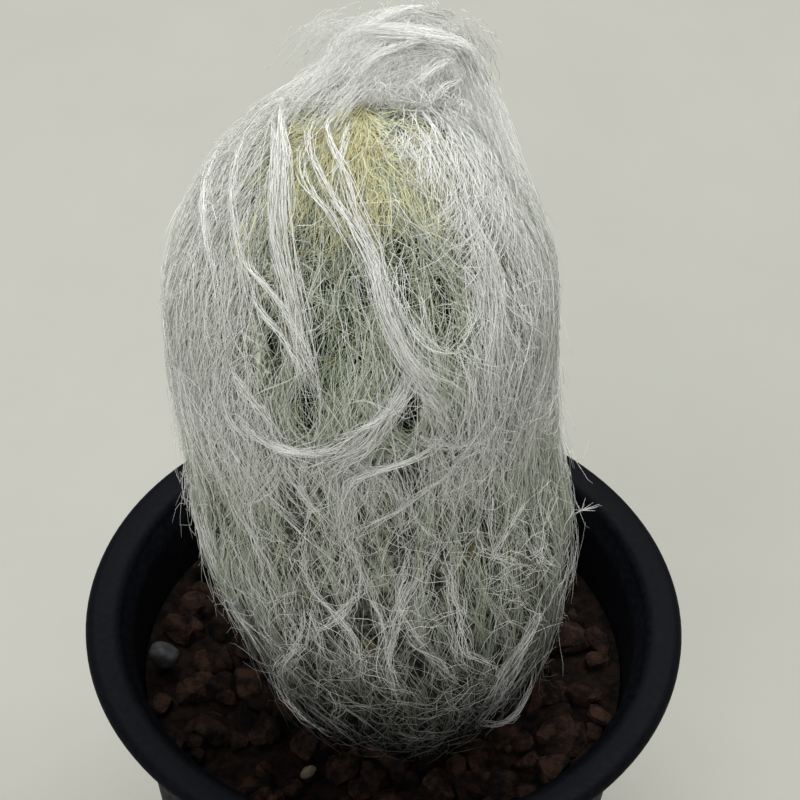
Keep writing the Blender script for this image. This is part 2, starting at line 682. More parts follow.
def wool_material(name, white, aged, stained, roughness=0.55):
    """Hair whose colour turns from fresh to aged with its shade, greys at its root and is soiled at the foot."""
    material, tree, shader = new_material(name, roughness, 0.3)
    shade = add_node(tree, "ShaderNodeAttribute", attribute_name="shade")
    tip = add_node(tree, "ShaderNodeAttribute", attribute_name="tipward")
    mix = add_node(tree, "ShaderNodeMix", data_type="RGBA")
    mix.inputs["A"].default_value = (*white, 1)
    mix.inputs["B"].default_value = (*aged, 1)
    root = add_node(tree, "ShaderNodeMapRange")
    root.inputs["From Max"].default_value = 0.35
    root.inputs["To Min"].default_value = 0.72
    dim = add_node(tree, "ShaderNodeMix", data_type="RGBA", blend_type="MULTIPLY")
    dim.inputs["Factor"].default_value = 1.0
    link(tree, shade.outputs["Fac"], mix.inputs["Factor"])
    link(tree, tip.outputs["Fac"], root.inputs["Value"])
    link(tree, mix.outputs["Result"], dim.inputs["A"])
    link(tree, root.outputs["Result"], dim.inputs["B"])
    soiled = place_group(tree, shared_group("soiled", soiled_group), reach=stained)
    link(tree, dim.outputs["Result"], soiled.inputs["Base"])
    link(tree, soiled.outputs["Colour"], shader.inputs["Base Color"])
    return material


def hair_material(wool, stained):
    """The hair's material for a height that the grit has stained it up to, made once for each."""
    name = f"wool_hair_{stained / MM:.0f}"
    return bpy.data.materials.get(name) or wool_material(name, wool.white, wool.aged, stained)


def tipped_material(name, body, tip, roughness):
    """Spines in one colour with another at the tip, varied by their shade."""
    material, tree, shader = new_material(name, roughness, 0.5)
    shade = add_node(tree, "ShaderNodeAttribute", attribute_name="shade")
    along = add_node(tree, "ShaderNodeAttribute", attribute_name="tipward")
    ends = add_node(tree, "ShaderNodeMapRange")
    ends.inputs["From Min"].default_value = 0.45
    ends.inputs["From Max"].default_value = 0.9
    mix = add_node(tree, "ShaderNodeMix", data_type="RGBA")
    mix.inputs["A"].default_value = (*body, 1)
    mix.inputs["B"].default_value = (*tip, 1)
    level = add_node(tree, "ShaderNodeMapRange")
    level.inputs["To Min"].default_value = 0.62
    dim = add_node(tree, "ShaderNodeMix", data_type="RGBA", blend_type="MULTIPLY")
    dim.inputs["Factor"].default_value = 1.0
    link(tree, along.outputs["Fac"], ends.inputs["Value"])
    link(tree, ends.outputs["Result"], mix.inputs["Factor"])
    link(tree, shade.outputs["Fac"], level.inputs["Value"])
    link(tree, mix.outputs["Result"], dim.inputs["A"])
    link(tree, level.outputs["Result"], dim.inputs["B"])
    link(tree, dim.outputs["Result"], shader.inputs["Base Color"])
    return material


# Wool


def hung(rng, roots, lengths, lean, steps=20):
    """Guide paths that hang down the coat from their roots, as arrays of along, turn and lift.

    roots is rows of along and turn. lean is the angle that each guide strays from straight down.
    """
    t = np.linspace(0, 1, steps)
    start, turn = roots[:, :1], roots[:, 1:]
    along = start + lengths[:, None] * t * np.cos(lean)[:, None]
    side = lengths[:, None] * t * np.sin(lean)[:, None]
    side = side + drift(along, turn) - drift(start, turn)
    curl = rng.uniform(0.25, 1.1, (len(roots), 1)) * MM
    phase = rng.uniform(0, math.tau, (len(roots), 1))
    side = side + curl * (np.sin(math.tau * along / (15 * MM) + phase) - np.sin(phase)) * t
    return np.stack((along, turn + side / across_radius(along), np.zeros_like(along)), axis=-1)


def drawn(points, steps=24):
    """A smooth guide path through (mm along, degrees of turn) points."""
    table = np.array(points, float)
    reach = np.concatenate(([0], np.cumsum(np.hypot(*(np.diff(table, axis=0) * (1, 0.35)).T))))
    at = np.linspace(0, reach[-1], steps)
    along, turn = (np.interp(at, reach, column) for column in table.T)
    for _ in range(3):
        for column in (along, turn):
            column[1:-1] = (column[:-2] + 2 * column[1:-1] + column[2:]) / 4
    return np.stack((along * MM, np.radians(turn), np.zeros(steps)), axis=-1)


def at_share(paths, share):
    """Each path's rows at shares of its length. paths is (guides, steps, 3), share (guides, hairs, points)."""
    index = np.clip(share, 0, 1) * (paths.shape[1] - 1)
    low = np.minimum(index.astype(int), paths.shape[1] - 2)
    rest = (index - low)[..., None]
    guide = np.arange(len(paths))[:, None, None]
    return paths[guide, low] * (1 - rest) + paths[guide, low + 1] * rest


def hairs(rng, paths, each, steps, mouth, waist, fray, frizz, depth, rise, share=(0.3, 0.55)):
    """Hairs gathered along each guide: spread at its start, close at its waist and frayed at its tip.

    Each hair runs along a share of its guide. Returns along, turn and lift, (guides * each, steps, 3).
    depth is how far under the coat they start, and rise how far over it they come.
    """
    count = len(paths)
    t = np.linspace(0, 1, steps)
    part = rng.uniform(*share, (count, each, 1))
    begin = rng.uniform(0, 1, (count, each, 1)) * (1 - part)
    at = begin + part * t
    rows = at_share(paths, at)
    width = mouth * (1 - at) ** 2.2 + waist + fray * at**3
    across = rng.normal(0, 1, (count, each, 1)) * width
    out = rng.normal(0, 0.5, (count, each, 1)) * np.minimum(width, 1.3 * waist + 0.3 * MM)
    cross = rng.normal(0, 1, (count, each, 1)) * (0.8 * waist + 0.5 * MM)
    across = across + cross * (t - 0.5)
    for size, low, high in ((1.0, 0.5, 1.3), (0.5, 1.4, 2.4)):
        turns = rng.uniform(low, high, (count, each, 1, 1))
        phase = rng.uniform(0, math.tau, (count, each, 2, 1))
        wave = frizz * size * np.sin(math.tau * turns * t + phase)
        across = across + wave[:, :, 0]
        out = out + 0.6 * wave[:, :, 1]
    body = -depth + (depth + rise) * smooth(at * 5)
    lift = rows[..., 2] + body + out
    made = np.stack((rows[..., 0], rows[..., 1] + across / across_radius(rows[..., 0]), lift), axis=-1)
    return made.reshape(count * each, steps, 3)


def bunches(rng, starts, each, length, lean, steps, low, high, curl=0.5, bend=0.55, toward=0.0):
    """Fibres laid over the coat in small bunches that cross each other, and the strand family of each.

    starts is rows of along and turn, one a bunch. lean is how far bunches stray from their family's lean,
    and toward turns them all, from straight down towards +X.
    low and high are the lifts that the bunches lie between. The fibres are rows of along, turn and lift.
    """
    shape = (len(starts), each, 1)
    bunch = (len(starts), 1, 1)
    t = np.linspace(0, 1, steps)
    family = rng.choice((-1.0, 1.0), bunch)
    along = starts[:, None, :1] + rng.normal(0, 1.6, shape) * MM
    turn = starts[:, None, 1:]
    heading = rng.normal(0, lean, bunch) + rng.normal(0, 0.12, shape) + toward - STRAND_LEAN * family
    bending = bend * (rng.normal(0, 1, bunch) + rng.normal(0, 0.6, shape))
    ripple = curl * np.sin(math.tau * (rng.uniform(0.6, 1.5, shape) * t + rng.uniform(0, 1, shape)))
    angle = heading + bending * (t - 0.4) + ripple
    step = rng.uniform(*length, bunch) * rng.uniform(0.75, 1.2, shape) / (steps - 1)
    down = along + np.cumsum(np.cos(angle) * step, axis=-1)
    side = rng.normal(0, 0.42, shape) * MM + np.cumsum(np.sin(angle) * step, axis=-1)
    lift = rng.uniform(low, high, bunch) + rng.normal(0, 0.22, shape) * MM
    lift = lift + 0.35 * MM * np.sin(math.pi * t) + rng.normal(0, 0.25, shape) * MM * t**2
    made = np.stack(np.broadcast_arrays(down, turn + side / across_radius(down), lift), axis=-1)
    return made.reshape(-1, steps, 3), np.repeat(family.ravel(), each)[:, None]


def settle(made, floor=COAT_END):
    """Keeps hairs off the soil: what would hang below the foot is drawn up above it."""
    slack = 9 * MM
    over = np.maximum(made[..., 0] - (floor - slack), 0)
    made[..., 0] = np.minimum(made[..., 0], floor - slack) + slack * (1 - np.exp(-over / slack))
    made[..., 2] += 0.06 * over
    return made


def hair_radii(rng, count, steps, thickness, tip=0.35):
    t = np.linspace(0, 1, steps)
    return thickness * rng.uniform(0.7, 1.2, (count, 1)) * (1 - (1 - tip) * t**2.2)


def coat_roots(rng, count, low, high, front=0.3):
    """Rows of along and turn spread over a band of the coat, denser by a share towards the front."""
    along = rng.uniform(low, high, 4 * count)
    turn = rng.uniform(-math.pi, math.pi, 4 * count)
    wide = np.maximum(coat_profile(along)[0], 5 * MM) / (1.05 * COAT_RADIUS)
    keep = rng.uniform(0, 1, 4 * count) < wide * (1 + front * np.cos(turn)) / (1 + front)
    return np.stack((along[keep][:count], turn[keep][:count]), axis=-1)


def outside_parting(rng, made, left):
    """Which hairs stay once most of those in the parting are gone; left is the share that stays there."""
    inside = openness(made[..., 0], made[..., 1]).mean(axis=1)
    worst = openness(made[..., 0], made[..., 1]).max(axis=1)
    chance = (1 - smooth((0.6 * inside + 0.4 * worst) * 1.6)) * (1 - left) + left
    return rng.uniform(0, 1, len(made)) < chance


def wool_piece(context, name, rng, made, thickness, shade, steps, side=0.0, matted=0.0, stained=66 * MM):
    """Turns hairs on the coat into a finished piece, drawn into strands by a share and stained up to a height."""
    material = hair_material(context.scene.cactus_wool, stained)
    made = settle(made)
    made[..., 2] -= SHOULDER_EASE * np.exp(-(((made[..., 0] - 26 * MM) / (11 * MM)) ** 2))
    places = coat_place(made[..., 0], gathered(made[..., 0], made[..., 1], side, matted), made[..., 2])
    obj = tubes(name, places, hair_radii(rng, len(made), steps, thickness), shade, material)
    return finish_piece(obj, "white_wool")


# Pieces


def arc(centre, radius, start_deg, end_deg, count):
    """Points on an arc in the (radius, height) plane, ends included."""
    angles = np.radians(np.linspace(start_deg, end_deg, count))
    return [(centre[0] + radius * math.cos(a), centre[1] + radius * math.sin(a)) for a in angles]


def wall_radius(z):
    """The pot wall's outer radius at a height."""
    return FOOT_RADIUS + z * WALL_TAPER


def inner_wall_radius(z):
    return wall_radius(z) - WALL_THICKNESS


def pot_profile():
    """The pot's section, from the middle of its floor up the inside, over the lip and down to the foot."""
    floor = FOOT_RECESS + FLOOR_THICKNESS
    lip_under = POT_HEIGHT - LIP_THICKNESS
    lip_round = LIP_THICKNESS / 2
    lip_inner = RIM_RADIUS - LIP_WIDTH
    throat = POT_HEIGHT - THROAT_DEPTH
    foot_inner = FOOT_RADIUS - FOOT_WIDTH
    points = [(0, floor)]
    points += arc((inner_wall_radius(floor) - CORNER, floor + CORNER), CORNER, -90, 0, 5)
    points += [(inner_wall_radius(throat * k / 6), throat * k / 6) for k in range(1, 7)]
    points += [(inner_wall_radius(throat) + 0.5 * MM, throat + 2 * MM)]
    points += arc((lip_inner + 2.0 * MM, POT_HEIGHT - 2.0 * MM), 2.0 * MM, 175, 92, 6)
    points += arc((RIM_RADIUS - lip_round, POT_HEIGHT - lip_round), lip_round, 88, -90, 10)
    points += [(wall_radius(lip_under) + 0.6 * MM, lip_under)]
    points += [(wall_radius(lip_under), lip_under - 0.8 * MM)]
    points += [(wall_radius(lip_under * k / 8), lip_under * k / 8) for k in range(7, 0, -1)]
    points += arc((wall_radius(0) - 0.8 * MM, 0.8 * MM), 0.8 * MM, 0, -90, 4)
    points += [(foot_inner, 0), (foot_inner - 0.4 * MM, FOOT_RECESS), (0, FOOT_RECESS)]
    return points


class CACTUS_OT_pot(bpy.types.Operator):
    """Makes the black plastic pot with its rounded lip, foot ring and drain holes"""

    bl_idname = "cactus.pot"
    bl_label = "Pot"

    def execute(self, context):
        settings = context.scene.cactus_pot
        mottle = shared_group("mottle", mottle_group)
        light = [c * 1.6 for c in settings.colour]
        material, tree, shader = new_material("pot_plastic", 0.6, 0.05)
        speckle = place_group(tree, mottle, scale=900.0, sharpness=0.4, dark=settings.colour, light=light)
        link(tree, speckle.outputs["Colour"], shader.inputs["Base Color"])
        gloss = add_node(tree, "ShaderNodeMapRange")
        gloss.inputs["To Min"].default_value = 0.5
        gloss.inputs["To Max"].default_value = 0.68
        link(tree, speckle.outputs["Mask"], gloss.inputs["Value"])
        link(tree, gloss.outputs["Result"], shader.inputs["Roughness"])
        add_bump(tree, shader, speckle.outputs["Height"], 0.03 * MM, 0.4)
        pot = bmesh_object("flower_pot", spun(pot_profile(), settings.steps), material)
        floor = FOOT_RECESS + FLOOR_THICKNESS
        bm = bmesh.new()
        for i in range(DRAIN_COUNT):
            turn = math.tau * i / DRAIN_COUNT
            place = Matrix.Translation((DRAIN_CIRCLE * math.cos(turn), DRAIN_CIRCLE * math.sin(turn), floor / 2))
            bmesh.ops.create_cone(
                bm, cap_ends=True, segments=32, radius1=DRAIN_RADIUS, radius2=DRAIN_RADIUS,
                depth=3 * floor, matrix=place,
            )
        drains = bmesh_object("drains", bm)
        cut = pot.modifiers.new("drains", "BOOLEAN")
        cut.operation = "DIFFERENCE"
        cut.solver = "EXACT"
        cut.object = drains
        mesh = evaluated_mesh(pot)
        pot.modifiers.clear()
        pot.data = mesh
        bpy.data.objects.remove(drains)
        mesh.shade_smooth()
        mesh.set_sharp_from_angle(angle=math.radians(50))
        finish_piece(pot, "black_plastic", "pot")
        return {"FINISHED"}


def lump(bm, rng, centre, half, cuts=7):
    """One broken lump: a ball with flats struck off it, stretched, turned and set down."""
    made = bmesh.ops.create_icosphere(bm, subdivisions=2, radius=1)["verts"]
    places = np.array([v.co for v in made])
    places *= rng.uniform(0.88, 1.1, (len(made), 1))
    for _ in range(cuts):
        normal = rng.normal(size=3)
        normal /= np.linalg.norm(normal)
        over = np.maximum(places @ normal - rng.uniform(0.5, 0.82), 0)
        places -= over[:, None] * normal
    turn = Matrix.Rotation(rng.uniform(0, math.tau), 3, "Z") @ Matrix.Rotation(rng.normal(0, 0.5), 3, "X")
    turn = turn @ Matrix.Rotation(rng.normal(0, 0.5), 3, "Y")
    places = (places * half) @ np.array(turn).T + centre
    for vertex, place in zip(made, places):
        vertex.co = place
    return made


def mark(bm, layer, vertices, value):
    for vertex in vertices:
        vertex[layer] = value


def stem_radius(z):
    """The radius over the stem's rib crests."""
    up = np.clip((z - DOME_LEVEL) / (COAT_DOME - WOOL_DEPTH), 0, 1)
    dome = (COAT_RADIUS - WOOL_DEPTH) * np.sqrt(1 - up * up)
    return np.where(z < DOME_LEVEL, coat_body_radius(z) - WOOL_DEPTH, dome)


class CACTUS_OT_grit(bpy.types.Operator):
    """Fills the pot with soil and covers it with broken lumps of lava"""

    bl_idname = "cactus.grit"
    bl_label = "Lava Grit"

    def execute(self, context):
        settings = context.scene.cactus_grit
        rng = np.random.default_rng(3)
        floor = FOOT_RECESS + FLOOR_THICKNESS + GAP
        bed = SOIL_LEVEL - 1.6 * MM
        neck = float(stem_radius(FOOT_LEVEL)) + GAP
        profile = [(0, SOIL_LEVEL - NECK_DEPTH - GAP), (NECK_TIP_RADIUS + GAP, SOIL_LEVEL - NECK_DEPTH - GAP)]
        profile += [(neck, FOOT_LEVEL - 2.4 * MM), (neck + 1.2 * MM, bed)]
        profile += [(r * MM, bed) for r in (22, 28, 34)]
        profile += [(inner_wall_radius(bed) - GAP, bed), (inner_wall_radius(floor + CORNER) - GAP, floor + CORNER)]
        profile += [(inner_wall_radius(floor) - CORNER - GAP, floor), (0, floor)]
        bm = spun(profile, 72)
        tone = bm.verts.layers.float.new("shade")
        wall = inner_wall_radius(SOIL_LEVEL)
        golden = math.pi * (3 - math.sqrt(5))
        for i in range(settings.lumps):
            size = settings.least + (settings.most - settings.least) * rng.uniform() ** 1.4
            reach = (wall - size) * math.sqrt((i + 0.5) / settings.lumps)
            turn = golden * i + rng.normal(0, 0.12)
            x, y = reach * math.cos(turn), reach * math.sin(turn)
            if math.hypot(x - BASE_X, y - AXIS_Y) < 17.5 * MM:
                continue
            spots = ((GREY_PEBBLE, 5.6 * MM), (TAN_GRAIN, 3.2 * MM))
            if any(math.hypot(x - spot.x, y - spot.y) < clear for spot, clear in spots):
                continue
            half = size * np.array((1, rng.uniform(0.7, 0.95), rng.uniform(0.55, 0.8)))
            height = SOIL_LEVEL - 0.45 * half[2] + rng.uniform(-0.8, 1.3) * MM
            mark(bm, tone, lump(bm, rng, (x, y, height), half), rng.uniform())
        bmesh.ops.recalc_face_normals(bm, faces=bm.faces)
        material, tree, shader = new_material("lava_rock", 0.9, 0.08)
        mottle = place_group(
            tree, shared_group("mottle", mottle_group), scale=420.0, sharpness=0.5,
            dark=settings.dark, light=settings.light,
        )
        each = add_node(tree, "ShaderNodeAttribute", attribute_name="shade")
        level = add_node(tree, "ShaderNodeMapRange")
        level.inputs["To Min"].default_value = 0.35
        level.inputs["To Max"].default_value = 1.25
        dim = add_node(tree, "ShaderNodeMix", data_type="RGBA", blend_type="MULTIPLY")
        dim.inputs["Factor"].default_value = 1.0
        link(tree, each.outputs["Fac"], level.inputs["Value"])
        link(tree, mottle.outputs["Colour"], dim.inputs["A"])
        link(tree, level.outputs["Result"], dim.inputs["B"])
        link(tree, dim.outputs["Result"], shader.inputs["Base Color"])
        add_bump(tree, shader, mottle.outputs["Height"], 0.5 * MM)
        grit = bmesh_object("grit_bed", bm, material)
        grit.data.shade_smooth()
        grit.data.set_sharp_from_angle(angle=math.radians(24))
        finish_piece(grit, "lava_grit", "soil")
        return {"FINISHED"}


GREY_PEBBLE = vector_mm(-37.0, -1.6, 78.1)
TAN_GRAIN = vector_mm(-12.2, -25.4, 77.1)


class CACTUS_OT_pebbles(bpy.types.Operator):
    """Sets the grey pebble and the tan grain on the grit"""

    bl_idname = "cactus.pebbles"
    bl_label = "Pebbles"

    def execute(self, context):
        mottle = shared_group("mottle", mottle_group)
        for name, slot, place, half, dark, light, seed in (
            ("slate_pebble", "grey_pebble", GREY_PEBBLE, (3.3, 3.1, 2.5), (0.010, 0.0105, 0.012),
             (0.026, 0.027, 0.029), 5),
            ("pale_grain", "tan_grain", TAN_GRAIN, (1.7, 1.2, 1.1), (0.07, 0.048, 0.028), (0.16, 0.115, 0.072), 9),
        ):
            bm = bmesh.new()
            rng = np.random.default_rng(seed)
            lump(bm, rng, tuple(place), np.array(half) * MM, 5)
            bmesh.ops.recalc_face_normals(bm, faces=bm.faces)
            material = mottled_material(name + "_stone", mottle, 0.75, 700.0, 0.3, dark, light, 0.12 * MM)
            stone = bmesh_object(name, bm, material)
            rounding = stone.modifiers.new("rounding", "SUBSURF")
            rounding.levels = rounding.render_levels = 2
            stone.data.shade_smooth()
            finish_piece(stone, slot, slot)
        return {"FINISHED"}


# Spine fans that show through gaps in the lower wool, as (mm along, degrees of turn)
GAP_FANS = (
    (62.5, -12.9), (61.5, 4.7), (74, -30), (64, 24), (80, -20), (82, 13), (74, 35), (63, -37), (72, 52), (90, -6),
    (88, -34), (60, 75), (78, 82), (66, -80), (82, -70), (70, 120), (80, 150), (66, 178), (76, -150), (64, -115),
)


def areole_rows(low, high):
    """Rows of along and turn for the areoles down every rib, staggered from rib to rib."""
    rows = []
    for rib in range(RIB_COUNT):
        turn = wrapped(math.tau * (rib + 0.5) / RIB_COUNT)
        for k in range(int((high - low) / AREOLE_PITCH) + 1):
            rows.append((low + (k + 0.5 * (rib % 2)) * AREOLE_PITCH, turn))
    return np.array(rows)


def rib_wave(turn):
    """From 0 in a furrow to 1 on a rib's crest."""
    return 1 - np.abs(np.sin(turn * RIB_COUNT / 2 + math.pi / 2 * 0)) ** 0.9 if False else np.abs(
        np.sin(turn * RIB_COUNT / 2)
    ) ** 0.8


class CACTUS_OT_stem(bpy.types.Operator):
    """Makes the green stem with its narrow ribs and the low bumps that carry the spines"""

    bl_idname = "cactus.stem"
    bl_label = "Stem"

    def execute(self, context):
        settings = context.scene.cactus_stem
        top = float(coat_profile(0.0, -WOOL_DEPTH)[1])
        steps = 60
        along = np.linspace(0.0, float(QUARTER + DOME_LEVEL - SOIL_LEVEL), steps)
        r, z = coat_profile(along, -WOOL_DEPTH)
        profile = [(0, top)] + [(float(a), float(b)) for a, b in zip(r[1:], z[1:])]
        profile += [(NECK_TIP_RADIUS, SOIL_LEVEL - NECK_DEPTH + 4 * MM), (0, SOIL_LEVEL - NECK_DEPTH)]
        bm = spun(profile, RIB_COUNT * 8)
        places = np.array([v.co for v in bm.verts])
        turn = np.arctan2(places[:, 0], -places[:, 1])
        radius = np.hypot(places[:, 0], places[:, 1])
        height = places[:, 2]
        full = smooth(radius / (14 * MM)) * smooth((height - SOIL_LEVEL) / (4 * MM))
        crest = rib_wave(turn)
        down = np.where(
            height > DOME_LEVEL, COAT_RADIUS * np.arcsin(np.clip(radius / (COAT_RADIUS - WOOL_DEPTH), 0, 1)),
            QUARTER + DOME_LEVEL - height,
        )
        rib = np.floor((turn % math.tau) / math.tau * RIB_COUNT)
        bump = np.cos(math.tau * ((down - 4 * MM) / AREOLE_PITCH - 0.5 * (rib % 2)))
        inward = RIB_DEPTH * full * (1 - crest) - 0.35 * MM * full * crest * bump
        factor = 1 - inward / np.maximum(radius, 1 * MM)
        places[:, :2] *= factor[:, None]
        places[:, 0] += axis_x(height)
        places[:, 1] += AXIS_Y
        shade = bm.verts.layers.float.new("shade")
        young = bm.verts.layers.float.new("young")
        for vertex, place, value, new in zip(bm.verts, places, crest * full, 1 - smooth((down / MM - 12) / 7)):
            vertex.co = place
            vertex[shade] = value
            vertex[young] = new
        material, tree, shader = new_material("stem_skin", 0.7, 0.2)
        fibres = place_group(
            tree, shared_group("threads", threads_group), scale=520.0, width=0.03,
            dark=settings.furrow, light=settings.skin,
        )
        crests = add_node(tree, "ShaderNodeAttribute", attribute_name="shade")
        top = add_node(tree, "ShaderNodeAttribute", attribute_name="young")
        level = add_node(tree, "ShaderNodeMapRange")
        level.inputs["To Min"].default_value = 0.08
        dim = add_node(tree, "ShaderNodeMix", data_type="RGBA", blend_type="MULTIPLY")
        dim.inputs["Factor"].default_value = 1.0
        mix = add_node(tree, "ShaderNodeMix", data_type="RGBA")
        mix.inputs["B"].default_value = (*settings.young, 1)
        part = add_node(tree, "ShaderNodeMath", operation="MULTIPLY")
        part.inputs[1].default_value = 0.85
        link(tree, crests.outputs["Fac"], level.inputs["Value"])
        link(tree, fibres.outputs["Colour"], dim.inputs["A"])
        link(tree, level.outputs["Result"], dim.inputs["B"])
        link(tree, top.outputs["Fac"], part.inputs[0])
        link(tree, part.outputs[0], mix.inputs["Factor"])
        link(tree, dim.outputs["Result"], mix.inputs["A"])
        link(tree, mix.outputs["Result"], shader.inputs["Base Color"])
        add_bump(tree, shader, fibres.outputs["Mask"], 0.3 * MM)
        stem = bmesh_object("ribbed_stem", bm, material)
        stem.data.shade_smooth()
        finish_piece(stem, "cactus_green", "stem")
        return {"FINISHED"}


def surface_frame(along, turn):
    """Unit vectors down the coat, across it towards +X and straight out of it."""
    step = 0.4 * MM
    here = coat_place(along, turn, -WOOL_DEPTH)
    down = coat_place(along + step, turn, -WOOL_DEPTH) - here
    down /= np.linalg.norm(down, axis=-1, keepdims=True)
    across = np.stack((np.cos(turn), np.sin(turn), np.zeros_like(turn)), axis=-1)
    out = np.cross(across, -down)
    return down, across, out / np.linalg.norm(out, axis=-1, keepdims=True)


def fan(rng, rows, each, low, high, spread, half_turn=math.pi, root_lift=0.2 * MM, steps=3, scatter=0.0):
    """Spines that fan out from each areole to half_turn either side of straight down, low over the ribs.

    spread is how far they stand out, 0 to 1.
    """
    along = np.repeat(rows[:, 0], each)
    turn = np.repeat(rows[:, 1], each)
    along = along + rng.normal(0, 1, len(along)) * scatter
    turn = turn + rng.normal(0, 1, len(turn)) * scatter / across_radius(along)
    down, across, out = surface_frame(along, turn)
    round_it = rng.uniform(-half_turn, half_turn, len(along))
    stand = rng.uniform(*spread, len(along))
    ray = np.cos(round_it)[:, None] * down + np.sin(round_it)[:, None] * across
    ray = ray * np.sqrt(1 - stand**2)[:, None] + out * stand[:, None]
    length = rng.uniform(low, high, len(along))
    t = np.linspace(0, 1, steps)[None, :, None]
    root = coat_place(along, turn, -WOOL_DEPTH + root_lift)
    bend = -0.16 * length[:, None, None] * t**2 * out[:, None]
    return root[:, None] + ray[:, None] * length[:, None, None] * t + bend


def spine_radii(rng, count, steps, thickness):
    t = np.linspace(0, 1, steps)
    return thickness * rng.uniform(0.8, 1.2, (count, 1)) * (1 - 0.8 * t)


class CACTUS_OT_areoles(bpy.types.Operator):
    """Makes the small felted pads that the spines grow from"""

    bl_idname = "cactus.areoles"
    bl_label = "Areoles"

    def execute(self, context):
        rng = np.random.default_rng(21)
        bm = bmesh.new()
        for along, turn in areole_rows(7 * MM, 118 * MM):
            place = coat_place(along, turn, -WOOL_DEPTH + 0.1 * MM)
            made = bmesh.ops.create_icosphere(bm, subdivisions=1, radius=1)["verts"]
            down, across, out = surface_frame(np.array(along), np.array(turn))
            size = rng.uniform(0.45, 0.7) * MM
            for vertex in made:
                a, b, c = vertex.co
                spot = place + size * (1.25 * a * down + b * across + 0.8 * c * out)
                vertex.co = spot
        material = mottled_material(
            "areole_felt", shared_group("mottle", mottle_group), 0.95, 1500.0, 0.2,
            (0.20, 0.16, 0.075), (0.50, 0.44, 0.24), 0.3 * MM, 0.1,
        )
        bmesh.ops.recalc_face_normals(bm, faces=bm.faces)
        pads = bmesh_object("areole_pads", bm, material)
        pads.data.shade_smooth()
        finish_piece(pads, "cactus_green")
        return {"FINISHED"}


class CACTUS_OT_spines(bpy.types.Operator):
    """Makes the radial spines on every areole, and the young ones at the crown"""

    bl_idname = "cactus.spines"
    bl_label = "Spines"

    def execute(self, context):
        settings = context.scene.cactus_spines
        rng = np.random.default_rng(31)
        rows = areole_rows(7 * MM, 118 * MM)
        open_here = openness(rows[:, 0], rows[:, 1]) > 0
        pale = tipped_material("pale_spine", settings.pale, [c * 1.1 for c in settings.pale], 0.5)
        bare = fan(
            rng, rows[open_here], settings.per_areole, 3.4 * MM, settings.length, (0.1, 0.65), scatter=0.9 * MM
        )
        radii = spine_radii(rng, len(bare), bare.shape[1], settings.thickness)
        shade = rng.uniform(0, 1, len(bare))
        finish_piece(tubes("radial_spines", bare, radii, shade, pale), "cactus_green")

        straw = tipped_material("straw_spine", (0.36, 0.31, 0.15), (0.50, 0.48, 0.32), 0.5)
        spots = np.array(GAP_FANS) * (MM, math.pi / 180)
        hanging = fan(
            rng, spots, 16, 5.0 * MM, 9.0 * MM, (0.02, 0.12), 0.42, root_lift=2.2 * MM, scatter=0.5 * MM
        )
        radii = spine_radii(rng, len(hanging), hanging.shape[1], settings.thickness * 1.2)
        shade = rng.uniform(0, 1, len(hanging))
        finish_piece(tubes("hanging_spines", hanging, radii, shade, straw), "cactus_green")

        young = np.stack((np.abs(rng.normal(4, 9, 1500)) * MM, np.radians(rng.normal(0, 42, 1500))), axis=-1)
        gold = tipped_material("gold_spine", settings.gold, settings.pale, 0.5)
        crown = fan(rng, young, 1, 2.4 * MM, 5.2 * MM, (0.3, 0.95), 1.9)
        radii = spine_radii(rng, len(crown), crown.shape[1], settings.thickness)
        finish_piece(tubes("crown_spines", crown, radii, rng.uniform(0, 1, len(crown)), gold), "cactus_green")

        fuzz = np.stack((np.abs(rng.normal(9, 5, 230)) * MM, np.radians(rng.normal(-6, 34, 230))), axis=-1)
        fuzz, _ = bunches(rng, fuzz, 5, (4 * MM, 8 * MM), 0.5, 5, -2.6 * MM, -0.8 * MM, 0.3)
        radii = hair_radii(rng, len(fuzz), fuzz.shape[1], settings.thickness * 0.8)
        fuzz = coat_place(fuzz[..., 0], fuzz[..., 1], fuzz[..., 2])
        finish_piece(tubes("crown_fuzz", fuzz, radii, rng.uniform(0.4, 1, len(fuzz)), gold), "cactus_green")

        tips = np.stack((rng.normal(6.8, 0.7, 60) * MM, np.radians(rng.normal(2, 22, 60))), axis=-1)
        rust = tipped_material("rust_spine", settings.gold, settings.rust, 0.5)
        point = fan(rng, tips, 1, 4.6 * MM, 6.4 * MM, (0.86, 0.99), 0.9, steps=4)
        radii = spine_radii(rng, len(point), point.shape[1], settings.thickness * 1.6)
        finish_piece(tubes("growing_point", point, radii, rng.uniform(0.3, 1, len(point)), rust), "cactus_green")
        return {"FINISHED"}


